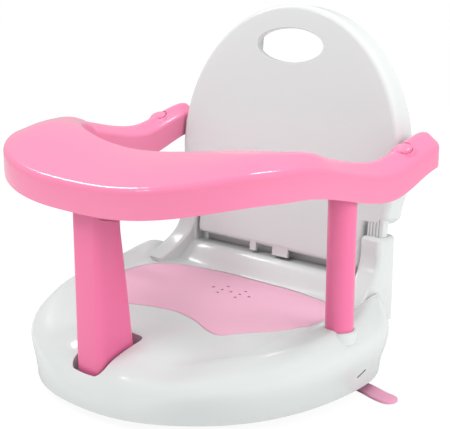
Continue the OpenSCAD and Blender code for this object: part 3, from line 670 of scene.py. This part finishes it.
def makeBase():
    shell = makeDome("baseShell", 0.0, 0.0)
    top, wall = collar["top"], base["wall"]
    parts = []
    for s in (-1, 1):
        parts += [towerBody("towerBody", s), towerSweep("towerSweep", s), makeCollar(s)]
    middle = (0, back["footY"] + base["ridgeWallBehind"], base["ridgeWallZ"])
    parts.append(plate("ridgeWall", middle, base["ridgeWall"], corner=0.8))
    carve(shell, parts, "UNION")
    cuts = [makeDome("inner", wall, 1.0)]
    for s in (-1, 1):
        cuts += [towerBody("towerHollow", s, wall), towerSweep("sweepHollow", s, wall)]
    carve(shell, cuts)

    # what stands inside the shell: the pad's floor, the posts' seats and the cups' sockets
    floor = padSolid("floor", wall, 1.0, fit + 2.2)
    inside = [pocketLoft("pocketWall", crotch["foot"] - wall, 66, crotch["room"] + wall)]
    for s in (-1, 1):
        z0, z1 = top - post["seatDown"], top - post["seatUp"]
        inside.append(tube("seat", s * post["x"], post["y"], z0, z1, post["d"] / 2 + wall))
    for s in (-1, 1):
        for x, y in (cup["rear"], cup["front"]):
            inside.append(tube("stud", s * x, y, *cup["socketZ"], cup["socketR"], 40))
    carve(floor, inside, "UNION")
    carve(floor, [makeDome("bound", 0.4, 0.0)], "INTERSECT")
    carve(shell, [floor], "UNION")

    cuts = [padSolid("recess", fit, 20, fit), pocketLoft("pocket", crotch["foot"], 96, crotch["room"])]
    for s in (-1, 1):
        x, y = s * post["x"], post["y"]
        cuts.append(tube("postSeat", x, y, top - post["plug"], top + 20, post["d"] / 2 + fit))
        cuts.append(tube("screwWay", x, y, base["edge"] - 2, top - post["seatDown"], 4.0, 24))
        middle = (s * tenon["x"], tenon["y"], tenon["seatZ"])
        cuts.append(plate("tenonSeat", middle, tenon["seat"], onBack(), 0.6))
        place = leaning((s * slit["x"], midY + slit["behind"], slit["z"]), slit["tilt"])
        cuts.append(plate("slit", (0, 0, 0), slit["size"], place, 0.4))
        for x, y in (cup["rear"], cup["front"]):
            cuts.append(tube("studWay", s * x, y, *cup["wayZ"], cup["wayR"], 32))
    cuts.append(drainSet.apply("drainWays", [(x, y, 40) for x, y in drains], drain["inBase"]))
    carve(shell, cuts)
    smoothOver(shell, 30)
    dress(shell, "whiteShell", "white_shell", "seat", "base_shell")


def makePad():
    thick, proud, edge, crown = padFacts["thick"], padFacts["proud"], padFacts["edge"], padFacts["crown"]
    rows = [padLoop(f, 0, -thick + 0.5) for f in np.linspace(0.05, 0.93, 14)]
    rows += [padLoop(0.985, 0, -thick + 0.5), padLoop(1.0, -0.05, -thick + 1.0)]
    for a in quarter(7):
        rows.append(padLoop(1.0, -edge * (1 - math.cos(a)), proud - edge + edge * math.sin(a)))
    for f in np.linspace(0.96, 0.03, 40):
        rows.append(padLoop(f, -edge * f, proud + crown * (1 - f ** 6)))
    centreY = midY - (padFacts["front"] - padFacts["back"]) / 2
    height = float(topAt(0, centreY - midY))
    pad = solid("seatPad", rows, (0, centreY, height - thick + 0.5), (0, centreY, height + proud + crown))
    carve(pad, [drainSet.apply("drainHoles", [(x, y, 60) for x, y in drains], drain["inPad"])])
    smoothOver(pad, 35)
    dress(pad, "softPad", "soft_pad", "seat", "seat_pad")


ring = {
    "armIn": 138.0, "armOut": 170.0, "half": 166.0, "inner": 132.0, "midY": -12.0, "length": 143.0,
    "hole": 66.0, "squareness": 0.71, "trayFade": 1.5, "armOver": 110, "endY": 141.0, "endR": 16.0,
    "front": 177.0, "crest": 18.0, "crestTo": 66, "frontTo": 76,  # the last two are degrees from the front
    "dip": 19.5, "dipLead": 50, "dipY": 56.0, "topY": 136.0, "rise": 17.0,
    "side": 26.0, "thin": 3.0, "innerFront": 42.0, "innerSide": 27.0, "edge": 7.0, "wall": 2.5,
    "bulgeArm": 6.5, "bulgeTray": 2.0, "bulgeFull": 32, "arcs": 56, "sides": 64, "ends": 18, "solidEnds": 9,
}


def towardEnd(y):
    return float(smooth((y - ring["dipY"]) / (ring["topY"] - ring["dipY"])))


def sideAt(y):
    return ring["side"] - ring["thin"] * towardEnd(y)


def ringHeight(y):
    crest = ring["front"] + ring["crest"]
    if y < ring["dipY"]:
        lead = ring["dipLead"] - ring["midY"]
        return crest - ring["dip"] * float(smooth((y + lead) / (ring["dipY"] + lead)))
    return crest - ring["dip"] + (ring["rise"] + ring["thin"]) * towardEnd(y)


# a station holds the outer x and y, the inner x and y, the lower edge's height and the tray's share
def arcStation(a):
    s, c = math.sin(a), max(0.0, math.cos(a))
    power, deg = ring["squareness"], math.degrees(a)
    y = ring["midY"] - ring["length"] * c ** power
    z = ring["front"] + ring["crest"] * float(smooth(deg / ring["crestTo"]))
    if deg >= ring["frontTo"]:
        z = ringHeight(y)
    return [ring["half"] * s ** power, y, ring["inner"] * s, ring["midY"] - ring["hole"] * c, z,
            c ** ring["trayFade"]]


def sideStation(y):
    f = float(smooth((y - ring["midY"]) / ring["armOver"]))
    q = max(0.0, (y - ring["endY"] + ring["endR"]) / ring["endR"])
    middle = (ring["armIn"] + ring["armOut"]) / 2
    half = 16 * math.sqrt(max(0.02, 1 - q * q)) if q > 0 else 32
    return [min(blendTo(ring["half"], ring["armOut"], f), middle + half), y,
            max(blendTo(ring["inner"], ring["armIn"], f), middle - half), y, ringHeight(y), 0.0]


def ringStations():
    arcs, sides, ends = ring["arcs"], ring["sides"], ring["ends"]
    last = ring["endY"] - ring["endR"]
    half = [arcStation(math.pi / 2 * i / arcs) for i in range(1, arcs + 1)]
    half += [sideStation(blendTo(ring["midY"], last, i / sides)) for i in range(1, sides + 1)]
    half += [sideStation(last + ring["endR"] * math.sin(math.pi / 2 * i / ends)) for i in range(1, ends + 1)]
    other = [[-s[0], s[1], -s[2]] + s[3:] for s in half]
    return half[::-1] + [arcStation(0.0)] + other


def ringSection(st, inset, drop):
    w = math.hypot(st[0] - st[2], st[1] - st[3])
    tip = min(1.0, max(0.0, (st[1] - ring["endY"] + ring["edge"]) / ring["edge"]))
    low = ring["edge"] * (1 - math.sqrt(1 - tip * tip))
    thin = ring["side"] - sideAt(st[1])
    outer = ring["side"] - thin - inset - low
    inner = blendTo(ring["innerSide"], ring["innerFront"], st[5]) - thin - inset - low
    r = ring["edge"] - inset / 2
    ro = min(r, w / 3)
    ri = ro * 0.7
    bulge = blendTo(ring["bulgeArm"], ring["bulgeTray"], st[5]) * min(1.0, w / ring["bulgeFull"])
    top = []
    for a in quarter(10):
        top.append((inset + ro * (1 - math.cos(a)), outer - r + r * math.sin(a)))
    for k in range(1, 14):
        f = k / 14
        up = blendTo(outer, inner, f) + bulge * 4 * f * (1 - f)
        top.append((blendTo(inset + ro, w - inset - ri, f), up))
    for a in quarter(10)[::-1]:
        top.append((w - inset - ri * (1 - math.cos(a)), inner - ri + ri * math.sin(a)))
    crown = []
    for point in top:  # hollows between the edges and the crown are raised to a straight line
        while len(crown) > 1 and ((crown[-1][0] - crown[-2][0]) * (point[1] - crown[-2][1])
                                  > (crown[-1][1] - crown[-2][1]) * (point[0] - crown[-2][0])):
            crown.pop()
        crown.append(point)
    across, up = [p[0] for p in crown], [p[1] for p in crown]
    top = [(p[0], max(p[1], float(np.interp(p[0], across, up)))) for p in top]
    return [(inset, -drop)] + top + [(w - inset, -drop)]


def ringPoints(st, section):
    d = Vector((st[2] - st[0], st[3] - st[1])).normalized()
    return [(st[0] + d.x * p[0], st[1] + d.y * p[0], st[4] + p[1]) for p in section]


button = {
    "x": 154.0, "y": 94.0, "tilt": 20.0, "d": 17.0, "wall": 1.6, "skirt": 8.0, "floor": 1.0, "edge": 1.9,
    "guideR": 11.2, "guideZ": (-9, -1.8), "well": [(8.9, -22), (8.9, -0.9), (9.5, 0.0), (9.5, 14)],
}
button["z"] = ringHeight(button["y"]) + sideAt(button["y"]) + 5


def buttonPlace(s):
    return leaning((s * button["x"], button["y"], button["z"]), button["tilt"])


def makeRing():
    stations = ringStations()
    ends = ring["solidEnds"]
    shell = solid("guardRing", [ringPoints(st, ringSection(st, 0.0, 0.0)) for st in stations])
    hollow = [ringPoints(st, ringSection(st, ring["wall"], 3.0)) for st in stations[ends:-ends]]
    carve(shell, [solid("cavity", hollow)])
    guide = [(button["guideR"], z) for z in button["guideZ"]]
    carve(shell, [solid("guide", lathe(guide, 72), turn=buttonPlace(s)) for s in (-1, 1)], "UNION")
    cuts = []
    for s in (-1, 1):
        cuts.append(solid("well", lathe(button["well"], 72), turn=buttonPlace(s)))
        seat = lathe([(peg["seatR"], 0), (peg["seatR"], peg["seatDeep"])], 48)
        cuts.append(solid("pegWay", seat, turn=pegPlace(s, peg["seatRoot"])))
    carve(shell, cuts)
    smoothOver(shell, 34)
    dress(shell, "pinkShell", "pink_shell", "seat", "guard_ring_upper")


def makeButton(s, side):
    r, edge, skirt, floor = button["d"] / 2, button["edge"], button["skirt"], button["floor"]
    inner = r - button["wall"]
    profile = [(0.6, -floor), (inner, -floor), (inner, -skirt), (r, -skirt), (r, 0.1)]
    for a in quarter(8):
        profile.append((r - edge * (1 - math.cos(a)), 0.2 + 1.5 * math.sin(a)))
    for f in (0.9, 0.75, 0.6, 0.45, 0.3, 0.15):
        profile.append(((r - edge) * f, 1.7 + 0.3 * (1 - f * f)))
    cap = solid("releaseButton" + side, lathe(profile, 72), (0, 0, -floor), (0, 0, 2.0), buttonPlace(s))
    smoothOver(cap, 40)
    dress(cap, "pinkShell", "pink_button", "button_" + side.lower(), "release_button_" + side.lower())


spring = {"length": 17.0, "wide": 8.0, "wire": 1.0, "turns": 4.0, "gap": 1.2, "travel": 2.5}


def makeSpring(s, side):
    foot = buttonPlace(s) @ Matrix.Translation((0, 0, -spring["gap"] - spring["length"]))
    coil = coilSet.apply("buttonSpring" + side, [(0, 0, spring["wire"] / 2)], {
        "Wire Radius": spring["wire"] / 2 * mm, "Coil Radius": (spring["wide"] - spring["wire"]) / 2 * mm,
        "Height": (spring["length"] - spring["wire"]) * mm, "Turns": spring["turns"]}, foot)
    smoothOver(coil, 60)
    dress(coil, "steel", "steel", "seat", "button_spring_" + side.lower())
    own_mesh(coil)


crotch = {
    "y": -141.0, "w": 34.0, "footDepth": 43.0, "topDepth": 27.0, "foot": 30.0, "top": 177.0, "room": 2.8,
    "wall": 2.6, "corner": 6.5, "hollowCorner": 3.5, "fold": (12, 40, 10), "foldBehind": 14, "foldTilt": -14,
}


def crotchLoop(f, z, inset, corner, steps):
    depth = blendTo(crotch["footDepth"], crotch["topDepth"], f)
    outline = roundedRect(crotch["w"] - 2 * inset, depth - 2 * inset, corner, steps)
    return [(p[0], crotch["y"] + depth / 2 + p[1], z) for p in outline]


def makeCrotch():
    foot, top = crotch["foot"], crotch["top"]
    rows = []
    for f in np.linspace(0, 1, 40):
        rows.append(crotchLoop(f, blendTo(foot + 0.1, top - 0.1, f), 0, crotch["corner"], 10))
    body = solid("crotchPost", rows)
    inner = []
    for f in (0.06, 1.02):
        inner.append(crotchLoop(f, blendTo(foot, top, f), crotch["wall"], crotch["hollowCorner"], 6))
    cuts = [solid("hollow", inner)]
    for s in (-1, 1):
        middle = (s * (crotch["w"] / 2 + 5), crotch["y"] + crotch["foldBehind"], top - 5)
        place = leaning(middle, crotch["foldTilt"])
        cuts.append(plate("fold", (0, 0, 0), crotch["fold"], place, 0.5))
    carve(body, cuts)
    smoothOver(body, 35)
    dress(body, "pinkPost", "pink_post", "seat", "crotch_post")


def makeSidePost(s, side):
    r, bore, wall = post["d"] / 2, post["bore"], post["wall"]
    low, high = collar["top"] - post["plug"], ringHeight(post["y"]) + post["intoRing"]
    floor = low + post["floor"]
    profile = [(bore, low), (r - 0.6, low), (r, low + 0.6)]
    profile += [(r, blendTo(low + 1, high - 1, f)) for f in np.linspace(0, 1, 24)]
    profile += [(r - 0.5, high), (r - wall, high), (r - wall, floor), (bore, floor), (bore, low)]
    points, faces = stack(lathe(profile, 96))
    points = [(p[0] + s * post["x"], p[1] + post["y"], p[2]) for p in points]
    name = "sidePost" + side
    # the profile closes on itself, so there are no end faces
    obj = newObject(name, meshFrom(name, points, faces[:-2]))
    smoothOver(obj, 35)
    dress(obj, "pinkPost", "pink_post", "seat", "side_post_" + side.lower())


back = {
    "half": 137.0, "height": 246.5, "arch": 100.0, "flange": 58.0, "depth": 24.0, "round": 5.5, "wall": 2.6,
    "panel": 106.0, "panelZ": 3.0, "handle": 206.5, "handleW": 82.0, "handleH": 33.0, "handleWall": 2.6,
    "lean": 6.2, "footY": 103.0, "footZ": 90.0, "ribX": (-92, -50, 50, 92), "ribZ": (61, 109, 157),
    "ribThick": 2, "ribDeep": 18, "footTabs": ((-27, 8), (9, 20)),
}
tenon = {
    "x": 119, "y": 5.2, "z": 40, "size": (17, 9, 36), "root": (19, 9, 12), "rootY": 5.6, "rootZ": 60,
    "seatZ": 42.85, "seat": (17.6, 9.6, 42.3), "ribGap": 3.4, "ribY": 0.7, "ribZ": 43,
    "rib": {"Width": 0.0015, "Depth": 0.0016, "Height": 0.022},
}
peg = {
    "y": 11, "z": 118, "root": 131, "seatRoot": 133, "seatR": 6.3, "seatDeep": 25,
    "profile": [(6, 0), (6, 19.5), (4.4, 19.6), (4.4, 22.4), (6, 22.5), (6, 24.3), (5.2, 25)],
}


def onBack():
    # from the backrest's own upright plane to its leaning place
    return leaning((0, back["footY"], back["footZ"]), -back["lean"])


def pegPlace(s, root):
    place = onBack() @ Matrix.Translation((s * root, peg["y"], peg["z"]))
    return place @ Matrix.Rotation(s * math.pi / 2, 4, "Y")


def softCorner(points, radius, steps=5):
    out = []
    n = len(points)
    for i in range(n):
        p, a, b = (np.array(q[:2], float) for q in (points[i], points[i - 1], points[(i + 1) % n]))
        r = radius[i]
        if r <= 0:
            out.append(tuple(p))
            continue
        u, v = (a - p) / np.linalg.norm(a - p), (b - p) / np.linalg.norm(b - p)
        angle = math.acos(max(-1, min(1, float(u @ v))))
        reach = min(r / math.tan(angle / 2), np.linalg.norm(a - p) * 0.49, np.linalg.norm(b - p) * 0.49)
        first, last = p + u * reach, p + v * reach
        for k in range(steps + 1):
            f = k / steps
            out.append(tuple((1 - f) ** 2 * first + 2 * f * (1 - f) * p + f * f * last))
    return out


def backOutline():
    # x, height and corner radius of each point, in the leaning plane
    h, pz, fz, pn, arch = back["half"], back["panelZ"], back["flange"], back["panel"], back["arch"]
    half = [(pn, pz, 5), (pn, fz - 10, 5), (h - 13, fz - 10, 3), (h - 6.5, fz - 4, 4)]
    half.append((h - 5.5, fz + 6, 0))
    half += [(h - 5.5 + 4 * f, blendTo(fz + 6, arch - 18, f), 0) for f in (0.33, 0.66, 1.0)]
    half.append((h - 0.5, arch - 8, 0))
    for a in [math.pi / 2 * i / 44 for i in range(45)]:
        half.append((h * math.cos(a), arch + (back["height"] - arch) * math.sin(a), 0))
    other = [(-x, z, r) for x, z, r in half[:-1]][::-1]
    foot = [(x, pz, 0) for x in np.linspace(-90, 90, 13)]
    loop = half + other + foot
    return softCorner(loop, [p[2] for p in loop])


def backSolid(name, inset, r, rear):
    line = np.array(backOutline())
    centre = np.array([0, back["arch"] - 8])
    toward = centre - line
    toward /= np.linalg.norm(toward, axis=1)[:, None]
    rings = [(0, rear)] + [(0, blendTo(rear, r, f)) for f in (0.33, 0.66)]
    for a in quarter(10):
        rings.append((r * (1 - math.cos(a)), r * (1 - math.sin(a))))
    loops = []
    for shrink, y in rings:
        flat = line + toward * (inset + shrink)
        loops.append([(p[0], inset + y, p[1]) for p in flat])
    face = line + toward * (inset + r)
    for share in (0.93, 0.8, 0.6, 0.35, 0.12):
        flat = centre + (face - centre) * share
        loops.append([(p[0], inset, p[1]) for p in flat])
    return solid(name, loops, (0, inset + rear, centre[1]), (0, inset, centre[1]), onBack())


def handleOval(name, rows):
    loops = []
    for y, extra in rows:
        w, h = back["handleW"] / 2 + extra, back["handleH"] / 2 + extra
        loops.append([(w * math.cos(t), y, back["handle"] + h * math.sin(t))
                      for t in np.linspace(0, 2 * math.pi, 96, endpoint=False)])
    return solid(name, loops, turn=onBack())


def makeBackrest():
    wall, depth = back["wall"], back["depth"]
    shell = backSolid("backrest", 0.0, back["round"], depth)
    carve(shell, [backSolid("cavity", wall, back["round"] - wall, depth + 6)])
    thick, deep = back["ribThick"], back["ribDeep"]
    ribs = [plate("rib", (x, 10, 124), (thick, deep, 243), onBack()) for x in back["ribX"]]
    ribs += [plate("rib", (0, 10, z), (268, deep, thick), onBack()) for z in back["ribZ"]]
    inside = carve(ribs[0], ribs[1:], "UNION")
    carve(inside, [backSolid("bound", 1.0, back["round"] - 1, depth - 5)], "INTERSECT")
    rim = handleOval("handleRim", [(blendTo(1.6, depth / 4, k / 12), back["handleWall"]) for k in range(13)])
    carve(shell, [inside, rim], "UNION")
    hole = [(-0.02, 0.9), (0.35, 0.4), (0.9, 0.1), (1.6, 0.0), (6, 0.0), (12, 0.0), (depth + 1, 0.0)]
    carve(shell, [handleOval("handleHole", hole)])
    adds = []
    for s in (-1, 1):
        x = s * tenon["x"]
        adds.append(plate("tenon", (x, tenon["y"], tenon["z"]), tenon["size"], onBack(), 0.8))
        adds.append(plate("tenonRoot", (x, tenon["rootY"], tenon["rootZ"]), tenon["root"], onBack(), 1.0))
        places = [(x + tenon["ribGap"] * i, tenon["ribY"], tenon["ribZ"]) for i in range(-2, 3)]
        adds.append(ribSet.apply("tenonRibs", places, tenon["rib"], onBack()))
        adds.append(solid("peg", lathe(peg["profile"], 48), turn=pegPlace(s, peg["root"])))
    for x, w in back["footTabs"]:
        adds.append(plate("footTab", (x, 2.1, 2.5), (w, 3, 12), onBack(), 0.4))
    carve(shell, adds, "UNION")
    smoothOver(shell, 30)
    dress(shell, "whiteShell", "white_shell", "seat", "backrest")


cup = {
    "rear": (122.0, 54.0), "front": (89.0, -65.0), "r": 26.0, "h": 13.0,
    "tab": 40.0, "tabW": 18.0, "tabT": 2.6, "tabEdge": 0.9, "tabBend": 7.0,
    "socketZ": (13.0, 54), "socketR": 10.5, "wayZ": (5, 23), "wayR": 3.9,  # the base's socket for the stud
}


def cupTab(s):
    # a strip from the cup's rim to a round end, with soft edges, lying on the floor
    r, w, edge = cup["r"], cup["tabW"] / 2, cup["tabEdge"]
    start = (s * (r - 3.0), 0.0)
    end = (s * (r + cup["tab"] - w), -cup["tabBend"])
    fs = np.linspace(0, 1, 14)
    path = np.stack([blendTo(start[0], end[0], fs), blendTo(start[1], end[1], smooth(fs))], axis=1)
    step = np.gradient(path, axis=0)
    step /= np.linalg.norm(step, axis=1)[:, None]
    side = np.stack([-step[:, 1], step[:, 0]], axis=1) * s
    first = math.atan2(side[-1][1], side[-1][0])
    sweep = -math.pi * s
    levels = [(0.5, 0.0), (0.0, 0.4)]
    for a in quarter(6):
        levels.append((edge * (1 - math.cos(a)), cup["tabT"] - edge + edge * math.sin(a)))
    rows = []
    for inset, z in levels:
        half = w - inset
        loop = [tuple(p) for p in path + side * half]
        for k in range(1, 20):
            a = first + sweep * k / 20
            loop.append((end[0] + half * math.cos(a), end[1] + half * math.sin(a)))
        loop += [tuple(p) for p in (path - side * half)[::-1]]
        rows.append([(p[0], p[1], z) for p in loop])
    return solid("cupTab", rows)


def makeCup(s, side, end):
    x, y = s * cup[end][0], cup[end][1]
    r, h = cup["r"], cup["h"]
    profile = [(0.8, 7.5), (5.0, 7.2), (9.0, 6.4), (14.0, 4.8), (r - 6.0, 2.6)]  # the hollow
    profile += [(r - 3.4, 0.0), (r - 1.0, 0.0), (r - 0.3, 0.15), (r, 0.6), (r - 0.1, 1.1), (r - 0.5, 1.5)]
    for f in np.linspace(0, 1, 14):
        profile.append((blendTo(r - 1.0, 12.0, f), 1.6 + 7.2 * f ** 1.15 - 0.6 * math.sin(math.pi * f)))
    profile += [(9.5, 10.2), (7.4, 11.4), (6.5, h - 0.5), (6.2, h - 0.3), (3.6, h - 0.3)]
    profile += [(3.6, h + 4.3), (5.2, h + 4.4), (5.45, h + 4.8), (4.5, h + 7.0), (2.6, h + 8.6)]
    profile.append((1.0, h + 8.95))
    body = solid("suctionCup" + end.title() + side, lathe(profile, 96), (0, 0, 7.5), (0, 0, h + 9))
    if end == "rear":
        tab = cupTab(s)
        carve(tab, [tube("core", 0, 0, -1, 6, r - 2.0, 96)])
        carve(body, [tab], "UNION")
    body.data.transform(Matrix.Translation((x * mm, y * mm, 0)))
    smoothOver(body, 35)
    dress(body, "softCup", "soft_cup", "seat", "suction_cup_" + end + "_" + side.lower())


def makeScrews():
    tools = screwScatter()
    apart = screw["apart"]
    for node, name, length in screw["sets"]:
        points = np.array([v.co for v in nodes[node].data.vertices]) / mm
        centres = []
        for p in points[points[:, 2].argsort()]:  # from the lowest up
            if all(math.hypot(p[0] - c[0], p[1] - c[1]) > apart for c in centres):
                near = points[np.hypot(points[:, 0] - p[0], points[:, 1] - p[1]) < apart]
                middle = (near.min(axis=0) + near.max(axis=0)) / 2
                centres.append((middle[0], middle[1], near[:, 2].min() + screw["headTall"]))
        made = tools.apply(name, centres, {"Length": length, **screw["sizes"]})
        smoothOver(made, 35)
        dress(made, "steel", "steel", "seat", node)


def paintLowerCover():
    # the ring's lower cover is the CAD's own piece
    cover = nodes["guard_ring_lower"]
    if not cover.material_slots:
        cover.data.materials.append(None)
    for place in cover.material_slots:
        place.material = materials["pinkShell"]


def makeFloor():
    half, z, tone = studio["floorHalf"], studio["floorZ"], studio["floorTone"]
    mesh = bpy.data.meshes.new("floor")
    corners = [(-half, -half, z), (half, -half, z), (half, half, z), (-half, half, z)]
    mesh.from_pydata(corners, [], [(0, 1, 2, 3)])
    floor = newObject("floor", mesh)
    s = Shader(bpy.data.materials.new("paleFloor"))
    bare = s.node("ShaderNodeBsdfDiffuse", {}, {"Color": (tone, tone, tone, 1.0)})
    glow = s.node("ShaderNodeEmission", {}, {"Color": white, "Strength": studio["floorLight"]})
    seen = s.node("ShaderNodeLightPath", {}, {}, "Is Camera Ray")
    mixed = s.node("ShaderNodeMixShader", {}, {0: seen * studio["floorGlow"], 1: bare, 2: glow})
    mesh.materials.append(s.finish(mixed))


def makeSky():
    world = bpy.data.worlds.new("studio")
    bpy.context.scene.world = world
    s = Shader(world)
    seen = s.node("ShaderNodeLightPath", {}, {}, "Is Camera Ray")
    through = s.node("ShaderNodeLightPath", {}, {}, "Is Transmission Ray")
    dim = s.node("ShaderNodeBackground", {}, {"Color": white, "Strength": studio["world"]})
    plain = s.node("ShaderNodeBackground", {}, {"Color": white, "Strength": 1.0})
    mixed = s.node("ShaderNodeMixShader", {}, {0: seen + through, 1: dim, 2: plain})
    s.finish(mixed, "ShaderNodeOutputWorld")


makeCamera()
makeLamps()
makeFloor()
makeSky()
print("stage: studio made")
drainSet = drainScatter()
ribSet = ribScatter()
coilSet = coilScatter()
makeBase()
makePad()
makeRing()
makeButton(-1, "Left")
makeButton(1, "Right")
makeSpring(-1, "Left")
makeSpring(1, "Right")
makeCrotch()
makeSidePost(-1, "Left")
makeSidePost(1, "Right")
makeBackrest()
for sign, side in ((-1, "Left"), (1, "Right")):
    makeCup(sign, side, "front")
    makeCup(sign, side, "rear")
makeScrews()
paintLowerCover()
print("stage: pieces made")
bpy.context.scene.view_settings.view_transform = "Standard"
bpy.context.scene.cycles.diffuse_bounces = 1  # the white stays neutral beside the pink
bpy.context.view_layer.update()
